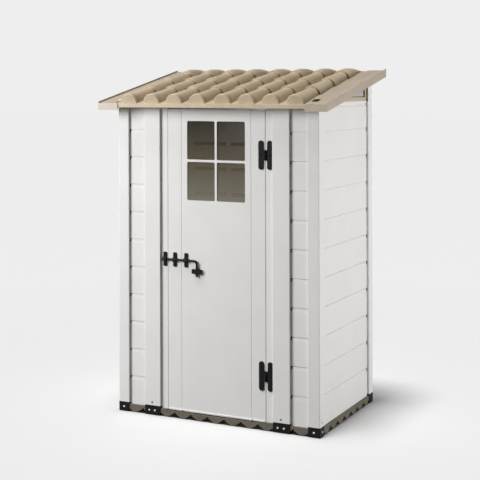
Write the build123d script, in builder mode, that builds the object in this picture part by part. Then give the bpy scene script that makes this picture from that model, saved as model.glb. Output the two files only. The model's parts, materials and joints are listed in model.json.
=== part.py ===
# Plastic garden shed: planked walls between channel posts, one hinged door, barrel-tile roof
# Frame: millimetres, +Z up, the door faces -Y, origin at the bottom centre of the whole part
import os
from math import cos, radians, sin, sqrt, tan

from build123d import *

# Walls
wall_width = 1220.0
wall_depth = 800.0
wall_thickness = 26.0
plank_inset = 14.0
plank_base = 46.0
side_plank_count = 11
side_cap = 14.0
plank_groove = 5.0
plank_chamfer = 18.0
plank_gap = 3.0
notch_show = 8.0
notch_depth = 18.0

# Posts
post_width = 68.0
post_wall = 4.0
post_round = 6.0
channel_depth = 18.0
channel_clearance = 0.5
lip_round = 3.0
jamb_width = 100.0

# Base
foot_height = 50.0
foot_round = 4.0
spigot_height = 30.0
spigot_clearance = 0.3
floor_top = 32.0
sill_height = 8.0
tile_plate = 5.0
tile_skirt = 16.0
tile_inset = 3.0
tile_gap = 0.6
tile_columns = 3
tile_rows = 2
foot_clearance = 0.5
tooth_count = 4
tooth_height = 19.0
tooth_flat = 24.0
tooth_shoulder = 10.0
tooth_shoulder_height = 5.0
slot_width = 13.0
slot_height = 6.0

# Door and its frame
door_width = 592.0
door_gap = 2.5
door_clearance = 5.0
door_head_drop = 23.0
door_seam_spread = 424.0
door_round = 3.0
strip_width = 42.5
stop_thickness = 6.0
stop_overlap = 7.0
stop_root = 17.0

# Window
pane_width = 169.5
pane_height = 210.0
mullion_width = 13.0
window_drop = 65.5
pane_corner = 8.0
window_skin = 3.0
pane_thickness = 4.0
pane_margin = 12.0
pane_clearance = 0.3

# Hinges
hinge_offset = 8.0
hinge_height = 155.0
hinge_bar_width = 30.0
hinge_bar_thickness = 4.5
hinge_bar_round = 14.0
hinge_bar_offset = 25.5
knuckle_radius = 6.5
knuckle_height = 55.0
knuckle_gap = 0.3
pin_radius = 3.0
pin_clearance = 0.05
hinge_upper_drop = 241.0
hinge_lower_rise = 245.5

# Bolt
bolt_rise = 829.0
rod_radius = 6.0
guide_clearance = 0.06
keeper_clearance = 1.0
guide_width = 23.0
guide_height = 78.0
guide_plate = 4.0
guide_strap = 4.0
guide_round = 5.0
guide_first_inset = 43.3
guide_second_inset = 113.3
keeper_width = 22.0
keeper_inset = 16.0
keeper_draw_gap = 6.0
bolt_bend_radius = 18.0
bolt_bend_inset = 183.0
bolt_drop = 44.0
grip_width = 58.0
grip_height = 25.0
grip_thickness = 12.0
grip_round = 4.0
grip_tip = 16.0

# Roof
roof_pitch = 11.33
eave_height = 1722.0
side_overhang = 80.0
front_overhang = 85.0
back_overhang = 16.0
sheet_thickness = 6.0
sheet_joint = 1.0
eave_lip_drop = 20.5
eave_lip_thickness = 5.0
tile_first_x = 77.0
tile_pitch_x = 141.5
tile_columns_per_panel = 4
tile_first_length = 231.0
tile_course_length = 218.0
tile_setback = 24.0
tile_big_radius = 50.0
tile_small_radius = 39.0
tile_wall = 4.0
tile_rim = 4.0
hood_length = 115.0
hood_setback = 34.0
hood_tip = 6.0
hood_knee_share = 0.6
hood_height_share = 0.68
trim_thickness = 5.0
trim_flange = 110.0
trim_flange_thickness = 4.0
trim_upstand = 12.0
barge_height = 46.4
return_length = 127.0
return_drop = 34.0

# Gables
gable_tip = 10.0
gable_rail = 22.0
gable_stile = 33.0
gable_top_rail = 16.0
gable_skin = 10.0
gable_pane_thickness = 3.0
gable_margin = 6.0

# Working values
half_share = 0.5
diagonal_share = sqrt(half_share)
roof_depth = front_overhang + wall_depth + back_overhang
roof_front_y = -roof_depth * half_share
roof_slope = tan(radians(roof_pitch))
sheet_rise = sheet_thickness / cos(radians(roof_pitch))
roof_length = roof_depth / cos(radians(roof_pitch))
hood_end = roof_length - hood_setback
hood_start = hood_end - hood_length
full_courses = int((hood_start - tile_setback - tile_first_length) // tile_course_length)
tile_taper = (tile_big_radius - tile_small_radius) / tile_course_length
front_y = roof_front_y + front_overhang
back_y = front_y + wall_depth
side_x = wall_width * half_share
roof_x = side_x + side_overhang
plank_front_y = front_y + plank_inset
wall_zone = plank_inset + wall_thickness + post_wall
tall = eave_height + roof_depth
core_width = post_width - channel_depth
corner_depth = wall_zone + channel_depth
door_half = door_width * half_share
strip_inner_x = door_half + door_gap
jamb_inner_x = strip_inner_x + strip_width
jamb_outer_x = jamb_inner_x + jamb_width
sill_top = floor_top + sill_height
door_bottom = floor_top + door_clearance
door_head_bottom = eave_height - door_head_drop
door_top = door_head_bottom - door_clearance
side_wall_start = front_y + wall_zone + channel_clearance
side_wall_end = back_y - wall_zone - channel_clearance
eave_lip_bottom = eave_height - eave_lip_drop
return_bottom = eave_height - return_drop
sides = (("left", -1), ("right", 1))
corner_rows = (("front", front_y, 1), ("back", back_y, -1))

os.makedirs("parts", exist_ok=True)


def roof_top_z(y):
    return eave_height + (y - roof_front_y) * roof_slope


side_wall_top = roof_top_z(side_wall_start) - sheet_rise - gable_tip
plank_height = (side_wall_top - plank_base) / side_plank_count

roof_normal = (0, -sin(radians(roof_pitch)), cos(radians(roof_pitch)))
roof_underside = Plane(
    origin=(0, roof_front_y, eave_height - sheet_rise),
    x_dir=(1, 0, 0),
    z_dir=roof_normal,
)
roof_surface = Plane(
    origin=(0, roof_front_y, eave_height),
    x_dir=(1, 0, 0),
    z_dir=roof_normal,
)


def save(piece, label):
    piece.label = label
    export_step(piece, f"parts/{label}.step")


# Base tiles: a plate on a toothed skirt, cut round the feet
def foot_boxes():
    boxes = []
    for sx in (-1, 1):
        corner_x = sx * (side_x - post_width * half_share)
        boxes.append((corner_x, front_y, 1, post_width, corner_depth))
        boxes.append((corner_x, back_y, -1, post_width, corner_depth))
        boxes.append((sx * (jamb_inner_x + jamb_width * half_share), front_y, 1, jamb_width, wall_zone))
    return boxes


def foot_outlines():
    with BuildSketch(Plane.XY) as outlines:
        for foot_x, face_y, inward, width, foot_depth in foot_boxes():
            with Locations((foot_x, face_y + inward * foot_depth * half_share)):
                Rectangle(width + 2 * foot_clearance, foot_depth + 2 * foot_clearance)
    return outlines.sketch


def tooth_gap(pitch):
    flat_x = (pitch - tooth_flat) * half_share
    slot_x = slot_width * half_share
    with BuildSketch() as gap:
        with BuildLine():
            flank = Polyline(
                (0, tooth_height + slot_height),
                (slot_x, tooth_height + slot_height),
                (slot_x, tooth_height),
                (slot_x + tooth_shoulder, tooth_height - tooth_shoulder_height),
                (flat_x, 0),
                (0, 0),
            )
            mirror(flank, about=Plane.YZ)
        make_face()
    return gap.sketch


def floor_tile(label, column, row):
    length = (wall_width - 2 * tile_inset) / tile_columns
    depth = (wall_depth - 2 * tile_inset) / tile_rows
    x = (column - (tile_columns - 1) * half_share) * length
    y = front_y + tile_inset + (row + half_share) * depth
    body_length = length - tile_gap
    body_depth = depth - tile_gap
    front_gap = tooth_gap(length / tooth_count)
    side_gap = tooth_gap(depth / tooth_count)
    with BuildPart() as tile:
        with BuildSketch(Plane.XY):
            with Locations((x, y)):
                Rectangle(body_length, body_depth)
        extrude(amount=floor_top)
        with BuildSketch(Plane.XY):
            with Locations((x, y)):
                Rectangle(body_length - 2 * tile_skirt, body_depth - 2 * tile_skirt)
        extrude(amount=floor_top - tile_plate, mode=Mode.SUBTRACT)
        with BuildSketch(Plane.XZ.offset(-y)):
            with Locations((x, 0)):
                with GridLocations(length / tooth_count, depth, tooth_count, 1):
                    add(front_gap)
        extrude(amount=depth, both=True, mode=Mode.SUBTRACT)
        with BuildSketch(Plane.YZ.offset(x)):
            with Locations((y, 0)):
                with GridLocations(depth / tooth_count, length, tooth_count, 1):
                    add(side_gap)
        extrude(amount=length, both=True, mode=Mode.SUBTRACT)
        extrude(foot_outlines(), amount=tall, mode=Mode.SUBTRACT)
    save(tile.part, label)


row_names = ("front", "back")
column_names = ("left", "middle", "right")
for row_index, row_name in enumerate(row_names):
    for column_index, column_name in enumerate(column_names):
        floor_tile(f"floor_tile_{row_name}_{column_name}", column_index, row_index)


# Sill rails: bars on the tiles that carry the walls and leave the doorway open
def sill_rail(label, low_x, high_x, low_y, high_y):
    with BuildPart() as rail:
        with BuildSketch(Plane.XY.offset(floor_top)):
            with Locations(((low_x + high_x) * half_share, (low_y + high_y) * half_share)):
                Rectangle(abs(high_x - low_x), high_y - low_y)
        extrude(amount=sill_height)
        extrude(foot_outlines(), amount=tall, mode=Mode.SUBTRACT)
    save(rail.part, label)


rail_x = side_x - tile_inset
for side_name, sx in sides:
    sill_rail(f"sill_front_{side_name}", sx * strip_inner_x, sx * rail_x,
              front_y + tile_inset, front_y + wall_zone)
    sill_rail(f"sill_side_{side_name}", sx * (side_x - wall_zone), sx * rail_x,
              front_y + wall_zone, back_y - wall_zone)
sill_rail("sill_back", -rail_x, rail_x, back_y - wall_zone, back_y - tile_inset)


# Feet: a block under each post with a spigot that enters the hollow post
def foot(label, x, y, width, depth, spigot_x, spigot_y, spigot_width, spigot_depth):
    with BuildPart() as block:
        with BuildSketch(Plane.XY):
            with Locations((x, y)):
                RectangleRounded(width, depth, foot_round)
        extrude(amount=foot_height)
        with BuildSketch(Plane.XY.offset(foot_height)):
            with Locations((spigot_x, spigot_y)):
                Rectangle(spigot_width, spigot_depth)
        extrude(amount=spigot_height)
    save(block.part, label)


hollow_cut = 2 * (post_wall + spigot_clearance)
for side_name, sx in sides:
    core_x = sx * (side_x - core_width * half_share)
    corner_x = sx * (side_x - post_width * half_share)
    for place, face_y, inward in corner_rows:
        foot(f"foot_{place}_{side_name}", corner_x, face_y + inward * corner_depth * half_share, post_width,
             corner_depth, core_x, face_y + inward * wall_zone * half_share,
             core_width - hollow_cut, wall_zone - hollow_cut)
    jamb_x = sx * (jamb_inner_x + jamb_width * half_share)
    foot(f"foot_jamb_{side_name}", jamb_x, front_y + wall_zone * half_share, jamb_width, wall_zone,
         jamb_x, front_y + wall_zone * half_share,
         jamb_width - 2 * channel_depth - hollow_cut, wall_zone - hollow_cut)


# Corner posts: a hollow core with channel lips on the two sides that take planks
def corner_post(label, sx, face_y, inward):
    lip_x = sx * (side_x - core_width - channel_depth * half_share)
    lip_y = face_y + inward * (wall_zone + channel_depth * half_share)
    lip_half = post_wall * half_share
    front_lip_y = face_y + inward * lip_half
    rear_lip_y = face_y + inward * (wall_zone - lip_half)
    core_center = (sx * (side_x - core_width * half_share), face_y + inward * wall_zone * half_share)
    lip_ends = ((sx * (side_x - post_width), face_y, foot_height),
                (sx * side_x, face_y + inward * corner_depth, foot_height))
    with BuildPart() as post:
        with BuildSketch(Plane.XY.offset(foot_height)) as profile:
            with Locations(core_center):
                Rectangle(core_width, wall_zone)
            with Locations((lip_x, front_lip_y), (lip_x, rear_lip_y)):
                Rectangle(channel_depth, post_wall)
            with Locations((sx * (side_x - lip_half), lip_y), (sx * (side_x - wall_zone + lip_half), lip_y)):
                Rectangle(post_wall, channel_depth)
            outer_corner = profile.vertices().sort_by_distance((sx * side_x, face_y, foot_height))[0]
            fillet(outer_corner, post_round)
            for lip_end in lip_ends:
                fillet(profile.vertices().sort_by_distance(lip_end)[0], lip_round)
            with Locations(core_center):
                Rectangle(core_width - 2 * post_wall, wall_zone - 2 * post_wall, mode=Mode.SUBTRACT)
        extrude(amount=tall)
        split(bisect_by=roof_underside, keep=Keep.BOTTOM)
    save(post.part, label)


for side_name, sx in sides:
    for place, face_y, inward in corner_rows:
        corner_post(f"corner_post_{place}_{side_name}", sx, face_y, inward)


# Jamb posts: a hollow core with a channel on each side
def jamb_post(label, sx):
    x = sx * (jamb_inner_x + jamb_width * half_share)
    core = jamb_width - 2 * channel_depth
    lip_offset = (jamb_width - channel_depth) * half_share
    y = front_y + wall_zone * half_share
    lip_y = (front_y + post_wall * half_share, front_y + wall_zone - post_wall * half_share)
    with BuildPart() as post:
        with BuildSketch(Plane.XY.offset(foot_height)) as profile:
            with Locations((x, y)):
                Rectangle(core, wall_zone)
            for way in (-1, 1):
                with Locations((x + way * lip_offset, lip_y[0]), (x + way * lip_offset, lip_y[1])):
                    Rectangle(channel_depth, post_wall)
                lip_end = (x + way * jamb_width * half_share, front_y, foot_height)
                fillet(profile.vertices().sort_by_distance(lip_end)[0], lip_round)
            with Locations((x, y)):
                Rectangle(core - 2 * post_wall, wall_zone - 2 * post_wall, mode=Mode.SUBTRACT)
        extrude(amount=tall)
        split(bisect_by=roof_underside, keep=Keep.BOTTOM)
    save(post.part, label)


for side_name, sx in sides:
    jamb_post(f"jamb_post_{side_name}", sx)


# Plank walls: one panel of hooked planks, chamfered under each joint, with a notch at the joint's ends
def plank_wall(label, middle, outward, length, bottom, top, cut_by_roof):
    middle_x, middle_y = middle
    out = Vector(*outward)
    along = Vector(0, 0, 1).cross(out)
    section_plane = Plane(origin=(middle_x, middle_y, 0), x_dir=out, z_dir=out.cross(Vector(0, 0, 1)))
    face_plane = Plane(origin=(middle_x, middle_y, 0), x_dir=along, z_dir=out)
    joints = []
    joint_z = plank_base + plank_height
    while joint_z < top - plank_height * half_share:
        joints.append(joint_z)
        joint_z += plank_height
    grooves = list(joints)
    if not cut_by_roof:
        grooves.append(top - side_cap)
    notch_length = channel_depth - channel_clearance + notch_show
    with BuildPart() as wall:
        with BuildSketch(section_plane):
            with BuildLine():
                edge_start = (0, bottom)
                Line((-wall_thickness, bottom), edge_start)
                for z in grooves:
                    Polyline(edge_start, (0, z - plank_chamfer), (-plank_groove, z - plank_gap),
                             (-plank_groove, z), (0, z))
                    edge_start = (0, z)
                Line(edge_start, (0, top))
                Line((0, top), (-wall_thickness, top))
                Line((-wall_thickness, top), (-wall_thickness, bottom))
            make_face()
        extrude(amount=length * half_share, both=True)
        with BuildSketch(face_plane):
            for z in joints:
                notch_x = (length - notch_length) * half_share
                notch_z = z - plank_chamfer * half_share
                with Locations((-notch_x, notch_z), (notch_x, notch_z)):
                    Rectangle(notch_length, plank_chamfer)
        extrude(amount=-notch_depth, mode=Mode.SUBTRACT)
        with BuildSketch(face_plane):
            seat_length = channel_depth - channel_clearance + foot_clearance
            seat_x = (length - seat_length) * half_share
            seat_z = (sill_top + foot_height) * half_share
            with Locations((-seat_x, seat_z), (seat_x, seat_z)):
                Rectangle(seat_length, foot_height - sill_top)
        extrude(amount=-wall_thickness, mode=Mode.SUBTRACT)
        if cut_by_roof:
            split(bisect_by=roof_underside, keep=Keep.BOTTOM)
    save(wall.part, label)


front_wall_start = jamb_outer_x - channel_depth + channel_clearance
front_wall_end = side_x - core_width - channel_clearance
front_wall_length = front_wall_end - front_wall_start
side_wall_length = side_wall_end - side_wall_start
side_wall_y = (side_wall_start + side_wall_end) * half_share
back_wall_length = 2 * (side_x - core_width - channel_clearance)
for side_name, sx in sides:
    front_wall_x = sx * (front_wall_start + front_wall_end) * half_share
    plank_wall(f"front_wall_{side_name}", (front_wall_x, plank_front_y), (0, -1, 0), front_wall_length,
               sill_top, roof_top_z(front_y + wall_zone), True)
    plank_wall(f"side_wall_{side_name}", (sx * (side_x - plank_inset), side_wall_y), (sx, 0, 0),
               side_wall_length, sill_top, side_wall_top, False)
plank_wall("back_wall", (0, back_y - plank_inset), (0, 1, 0), back_wall_length,
           sill_top, roof_top_z(back_y), True)


# Door frame strips: seated in the jamb channels, each with a stop behind the door's edge
def frame_strip(label, sx):
    seat_x = jamb_inner_x + channel_depth - channel_clearance
    inner_y = plank_front_y + wall_thickness
    stop_y = inner_y + door_clearance
    tip_x = door_half - stop_overlap
    root_x = strip_inner_x + stop_root
    with BuildPart() as strip:
        with BuildSketch(Plane.XY.offset(sill_top)):
            with BuildLine():
                Polyline(
                    (sx * strip_inner_x, plank_front_y),
                    (sx * seat_x, plank_front_y),
                    (sx * seat_x, inner_y),
                    (sx * root_x, inner_y),
                    (sx * root_x, stop_y + stop_thickness),
                    (sx * tip_x, stop_y + stop_thickness),
                    (sx * tip_x, stop_y),
                    (sx * strip_inner_x, stop_y),
                    close=True,
                )
            make_face()
        extrude(amount=tall)
        with BuildSketch(Plane.XY.offset(sill_top)):
            seat_start = jamb_inner_x - foot_clearance
            seat_middle_x = sx * (seat_start + seat_x) * half_share
            with Locations((seat_middle_x, plank_front_y + wall_thickness * half_share)):
                Rectangle(seat_x - seat_start, wall_thickness)
        extrude(amount=foot_height - sill_top, mode=Mode.SUBTRACT)
        split(bisect_by=roof_underside, keep=Keep.BOTTOM)
    save(strip.part, label)


for side_name, sx in sides:
    frame_strip(f"door_frame_{side_name}", sx)

with BuildPart() as door_head:
    with BuildSketch(Plane.XY.offset(door_head_bottom)):
        with Locations((0, plank_front_y + wall_thickness * half_share)):
            Rectangle(2 * strip_inner_x, wall_thickness)
    extrude(amount=tall)
    split(bisect_by=roof_underside, keep=Keep.BOTTOM)
save(door_head.part, "door_head")


# Gable lights: a triangular frame on the side wall under the roof, and its pane
def slanted_outline(start_y, end_y, bottom, top_drop):
    top_start = roof_top_z(start_y) - sheet_rise - top_drop
    top_end = roof_top_z(end_y) - sheet_rise - top_drop
    return (start_y, bottom), (end_y, bottom), (end_y, top_end), (start_y, top_start)


def gable_opening(grow):
    bottom = side_wall_top + gable_rail - grow
    drop = gable_top_rail / cos(radians(roof_pitch)) - grow * (1 / cos(radians(roof_pitch)))
    end_y = side_wall_end - gable_stile + grow
    apex_y = roof_front_y + (bottom + drop + sheet_rise - eave_height) / roof_slope
    start_y = apex_y + gable_rail
    return slanted_outline(start_y, end_y, bottom, drop)


def gable(side_name, sx):
    inner_x = sx * (side_x - plank_inset - wall_thickness)
    with BuildPart() as frame:
        with BuildSketch(Plane.YZ.offset(inner_x)):
            with BuildLine():
                Polyline(*slanted_outline(side_wall_start, side_wall_end, side_wall_top, 0), close=True)
            make_face()
            with BuildLine():
                Polyline(*gable_opening(0), close=True)
            make_face(mode=Mode.SUBTRACT)
        extrude(amount=sx * wall_thickness)
        with BuildSketch(Plane.YZ.offset(inner_x)):
            with BuildLine():
                Polyline(*gable_opening(gable_margin), close=True)
            make_face()
        extrude(amount=sx * (wall_thickness - gable_skin), mode=Mode.SUBTRACT)
    save(frame.part, f"gable_frame_{side_name}")
    with BuildPart() as pane:
        with BuildSketch(Plane.YZ.offset(sx * (side_x - plank_inset - gable_skin - gable_pane_thickness))):
            with BuildLine():
                Polyline(*gable_opening(gable_margin - pane_clearance), close=True)
            make_face()
        extrude(amount=sx * gable_pane_thickness)
    save(pane.part, f"gable_pane_{side_name}")


for side_name, sx in sides:
    gable(side_name, sx)


# Roof panels: a sheet with columns of overlapping half-round tiles, tapered, hooded at the top, hollow below
def tile_profile():
    points = []
    low = tile_setback
    for length in [tile_first_length] + [tile_course_length] * full_courses:
        points.append((low, tile_big_radius - tile_rim))
        points.append((low + tile_rim, tile_big_radius))
        low += length
        points.append((low, tile_small_radius))
    hood_radius = tile_big_radius - tile_taper * (hood_start - low)
    points.append((low, tile_big_radius - tile_rim))
    points.append((low + tile_rim, tile_big_radius))
    points.append((hood_start, hood_radius))
    points.append((hood_start + hood_length * hood_knee_share, hood_radius * hood_height_share))
    points.append((hood_end, hood_tip))
    return points


def roof_panel(label, sx):
    inner_x = sx * sheet_joint * half_share
    outer_x = sx * (roof_x - trim_thickness)
    start_y = roof_front_y + trim_thickness
    end_y = -roof_front_y
    lip_y = start_y + eave_lip_thickness
    lip_end_x = sx * (roof_x - return_length)
    column_x = [sx * (tile_first_x + index * tile_pitch_x) for index in range(tile_columns_per_panel)]
    with BuildPart() as panel:
        with BuildSketch(Plane.YZ.offset(inner_x)):
            with BuildLine():
                Polyline(
                    (start_y, roof_top_z(start_y) - sheet_rise),
                    (end_y, roof_top_z(end_y) - sheet_rise),
                    (end_y, roof_top_z(end_y)),
                    (start_y, roof_top_z(start_y)),
                    close=True,
                )
            make_face()
        extrude(amount=outer_x - inner_x)
        with BuildSketch(Plane.YZ.offset(inner_x)):
            with BuildLine():
                Polyline(
                    (start_y, eave_lip_bottom),
                    (lip_y, eave_lip_bottom),
                    (lip_y, roof_top_z(lip_y)),
                    (start_y, roof_top_z(start_y)),
                    close=True,
                )
            make_face()
        extrude(amount=lip_end_x - inner_x)
        for x in column_x:
            spine = Plane(origin=roof_surface.from_local_coords((x, 0, 0)), x_dir=roof_surface.y_dir,
                          z_dir=roof_surface.z_dir)
            outer = tile_profile()
            with BuildSketch(spine):
                with BuildLine():
                    Polyline((outer[0][0], 0), *outer, (outer[-1][0], 0), close=True)
                make_face()
            revolve(axis=Axis(spine.origin, spine.x_dir), revolution_arc=180)
            hollow_start = spine.from_local_coords((tile_setback + tile_wall, 0, 0))
            with BuildSketch(Plane(origin=hollow_start, x_dir=(1, 0, 0), z_dir=spine.x_dir)):
                Circle(tile_small_radius - tile_wall)
            extrude(amount=hood_start - tile_setback - 2 * tile_wall, mode=Mode.SUBTRACT)
    save(panel.part, label)


for side_name, sx in sides:
    roof_panel(f"roof_panel_{side_name}", sx)


# Roof trims: a flange on the sheet's margin, a barge board and a return round the eave's corner
def roof_trim(label, sx):
    outer_x = sx * roof_x
    end_y = -roof_front_y

    def slanted_band(low, high, start_y):
        return (
            (start_y, roof_top_z(start_y) + low),
            (end_y, roof_top_z(end_y) + low),
            (end_y, roof_top_z(end_y) + high),
            (start_y, roof_top_z(start_y) + high),
        )

    with BuildPart() as trim:
        with BuildSketch(Plane.YZ.offset(outer_x)):
            with BuildLine():
                Polyline(*slanted_band(trim_upstand - barge_height, trim_upstand, roof_front_y), close=True)
            make_face()
        extrude(amount=-sx * trim_thickness)
        with BuildSketch(Plane.YZ.offset(outer_x)):
            with BuildLine():
                Polyline(*slanted_band(0, trim_flange_thickness, roof_front_y), close=True)
            make_face()
        extrude(amount=-sx * trim_flange)
        with BuildSketch(Plane.XY.offset(return_bottom)):
            return_x = outer_x - sx * return_length * half_share
            with Locations((return_x, roof_front_y + trim_thickness * half_share)):
                Rectangle(return_length, trim_thickness)
        extrude(amount=eave_height + trim_flange_thickness - return_bottom)
    save(trim.part, label)


for side_name, sx in sides:
    roof_trim(f"roof_trim_{side_name}", sx)


# Door leaf: two stiles and a centre panel with four lights
def door_board(low_x, high_x):
    with BuildPart() as board:
        with BuildSketch(Plane.XY.offset(door_bottom)):
            with Locations(((low_x + high_x) * half_share, plank_front_y + wall_thickness * half_share)):
                RectangleRounded(high_x - low_x, wall_thickness, door_round)
        extrude(amount=door_top - door_bottom)
    return board.part


seam_x = door_seam_spread * half_share
save(door_board(-door_half, -seam_x), "door_stile_left")
save(door_board(seam_x, door_half), "door_stile_right")

window_middle_z = door_top - window_drop - pane_height - mullion_width * half_share
window_width = 2 * pane_width + mullion_width
window_height = 2 * pane_height + mullion_width
pane_front_y = plank_front_y + window_skin
rebate_width = window_width + 2 * pane_margin
rebate_height = window_height + 2 * pane_margin
outside_plane = Plane(origin=(0, plank_front_y, window_middle_z), x_dir=(1, 0, 0), z_dir=(0, -1, 0))
pane_plane = Plane(origin=(0, pane_front_y, window_middle_z), x_dir=(1, 0, 0), z_dir=(0, -1, 0))
frame_plane = pane_plane.offset(-pane_thickness)


def four_lights():
    with GridLocations(pane_width + mullion_width, pane_height + mullion_width, 2, 2):
        RectangleRounded(pane_width, pane_height, pane_corner)


with BuildPart() as door_panel:
    add(door_board(-seam_x, seam_x))
    with BuildSketch(outside_plane):
        four_lights()
    extrude(amount=-wall_thickness, mode=Mode.SUBTRACT)
    with BuildSketch(pane_plane):
        Rectangle(rebate_width, rebate_height)
    extrude(amount=-wall_thickness, mode=Mode.SUBTRACT)
save(door_panel.part, "door_panel")

with BuildPart() as window_pane:
    with BuildSketch(pane_plane):
        Rectangle(rebate_width - 2 * pane_clearance, rebate_height - 2 * pane_clearance)
    extrude(amount=-pane_thickness)
save(window_pane.part, "window_pane")

with BuildPart() as window_inner_frame:
    with BuildSketch(frame_plane) as inner_frame_sketch:
        Rectangle(rebate_width - 2 * pane_clearance, rebate_height - 2 * pane_clearance)
        with GridLocations(pane_width + mullion_width, pane_height + mullion_width, 2, 2):
            RectangleRounded(pane_width, pane_height, pane_corner, mode=Mode.SUBTRACT)
    extrude(amount=-(wall_thickness - window_skin - pane_thickness))
save(window_inner_frame.part, "window_inner_frame")


# Hinges: a bar on the door and a bar on the frame, with half a knuckle each round one pin
hinge_x = door_half + door_gap * half_share
hinge_y = plank_front_y - hinge_offset
hinge_upper_z = door_top - hinge_upper_drop
hinge_lower_z = door_bottom + hinge_lower_rise
web_start = knuckle_radius + knuckle_gap
web_width = hinge_bar_offset - web_start
web_middle = (hinge_bar_offset + web_start) * half_share


def hinge_leaf(label, z, way):
    bar_x = hinge_x + way * hinge_bar_offset
    bar_plane = Plane(origin=(bar_x, plank_front_y, z), x_dir=(1, 0, 0), z_dir=(0, -1, 0))
    half_knuckle = knuckle_height * half_share - knuckle_gap
    knuckle_z = z - knuckle_height * half_share
    if way < 0:
        knuckle_z = z + knuckle_gap
    arm_plane = Plane(origin=(hinge_x, plank_front_y, knuckle_z), x_dir=(1, 0, 0), z_dir=(0, 0, 1))
    with BuildPart() as leaf:
        with BuildSketch(bar_plane):
            RectangleRounded(hinge_bar_width, hinge_height, hinge_bar_round)
            with Locations((-way * (hinge_bar_offset - web_middle), 0)):
                Rectangle(web_width, knuckle_height)
        extrude(amount=hinge_bar_thickness)
        with BuildSketch(arm_plane):
            with Locations((way * hinge_bar_offset * half_share, -hinge_bar_thickness * half_share)):
                Rectangle(hinge_bar_offset, hinge_bar_thickness)
            with Locations((0, -hinge_offset)):
                Circle(knuckle_radius)
        extrude(amount=half_knuckle)
        if way < 0:
            with BuildSketch(arm_plane):
                with Locations((0, -hinge_offset)):
                    Circle(pin_radius + pin_clearance)
            extrude(amount=half_knuckle, mode=Mode.SUBTRACT)
        else:
            with BuildSketch(arm_plane):
                with Locations((0, -hinge_offset)):
                    Circle(pin_radius)
            extrude(amount=knuckle_height)
    save(leaf.part, label)


for level_name, level_z in (("upper", hinge_upper_z), ("lower", hinge_lower_z)):
    hinge_leaf(f"hinge_frame_leaf_{level_name}", level_z, 1)
    hinge_leaf(f"hinge_door_leaf_{level_name}", level_z, -1)

# Bolt: two guides on the door, a keeper on the frame and a bent rod with a cross grip
bolt_z = door_bottom + bolt_rise
rod_y = plank_front_y - guide_plate - rod_radius - guide_clearance


def bolt_guide(x, width, clearance):
    face = Plane(origin=(x, plank_front_y, bolt_z), x_dir=(1, 0, 0), z_dir=(0, -1, 0))
    section = Plane(origin=(x, rod_y, bolt_z), x_dir=(0, 1, 0), z_dir=(1, 0, 0))
    with BuildPart() as guide:
        with BuildSketch(face):
            RectangleRounded(width, guide_height, guide_round)
        extrude(amount=guide_plate)
        with BuildSketch(section):
            Circle(rod_radius + keeper_clearance + guide_strap)
            with Locations((plank_front_y - rod_y + guide_height, 0)):
                Rectangle(2 * guide_height, 2 * guide_height, mode=Mode.SUBTRACT)
        extrude(amount=width * half_share, both=True)
        with BuildSketch(section):
            Circle(rod_radius + clearance)
        extrude(amount=width, both=True, mode=Mode.SUBTRACT)
    return guide.part


with BuildPart() as bolt_guides:
    for guide_inset in (guide_first_inset, guide_second_inset):
        add(bolt_guide(guide_inset - door_half, guide_width, guide_clearance))
save(bolt_guides.part, "bolt_guides")

keeper_x = -(strip_inner_x + keeper_inset)
save(bolt_guide(keeper_x, keeper_width, keeper_clearance), "bolt_keeper")

bolt_tip_x = keeper_x + keeper_width * half_share + keeper_draw_gap
bolt_bend_x = bolt_bend_inset - door_half
bend_low_z = bolt_z - bolt_drop
grip_z = bend_low_z - grip_height * half_share
with BuildPart() as bolt:
    with BuildLine():
        Line((bolt_tip_x, rod_y, bolt_z), (bolt_bend_x - bolt_bend_radius, rod_y, bolt_z))
        ThreePointArc(
            (bolt_bend_x - bolt_bend_radius, rod_y, bolt_z),
            (bolt_bend_x - bolt_bend_radius * (1 - diagonal_share), rod_y,
             bolt_z - bolt_bend_radius * (1 - diagonal_share)),
            (bolt_bend_x, rod_y, bolt_z - bolt_bend_radius),
        )
        Line((bolt_bend_x, rod_y, bolt_z - bolt_bend_radius), (bolt_bend_x, rod_y, bend_low_z))
    with BuildSketch(Plane(origin=(bolt_tip_x, rod_y, bolt_z), z_dir=(1, 0, 0))):
        Circle(rod_radius)
    sweep()
    with BuildSketch(Plane(origin=(bolt_bend_x, rod_y, grip_z), x_dir=(1, 0, 0), z_dir=(0, -1, 0))):
        RectangleRounded(grip_width, grip_height, grip_round)
    extrude(amount=grip_thickness * half_share, both=True)
    with BuildSketch(Plane.XY.offset(grip_z - grip_height * half_share)):
        with Locations((bolt_bend_x, rod_y)):
            Circle(rod_radius)
    extrude(amount=-grip_tip)
save(bolt.part, "bolt")
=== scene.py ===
# Plastic garden shed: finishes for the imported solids, moulded roof panels, fittings and a pale studio
# Frame: metres, +Z up, the door faces -Y, origin at the bottom centre of the shed
import json
from math import atan2, cos, pi, radians, sin

import bmesh
import bpy
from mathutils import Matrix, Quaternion, Vector

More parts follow.
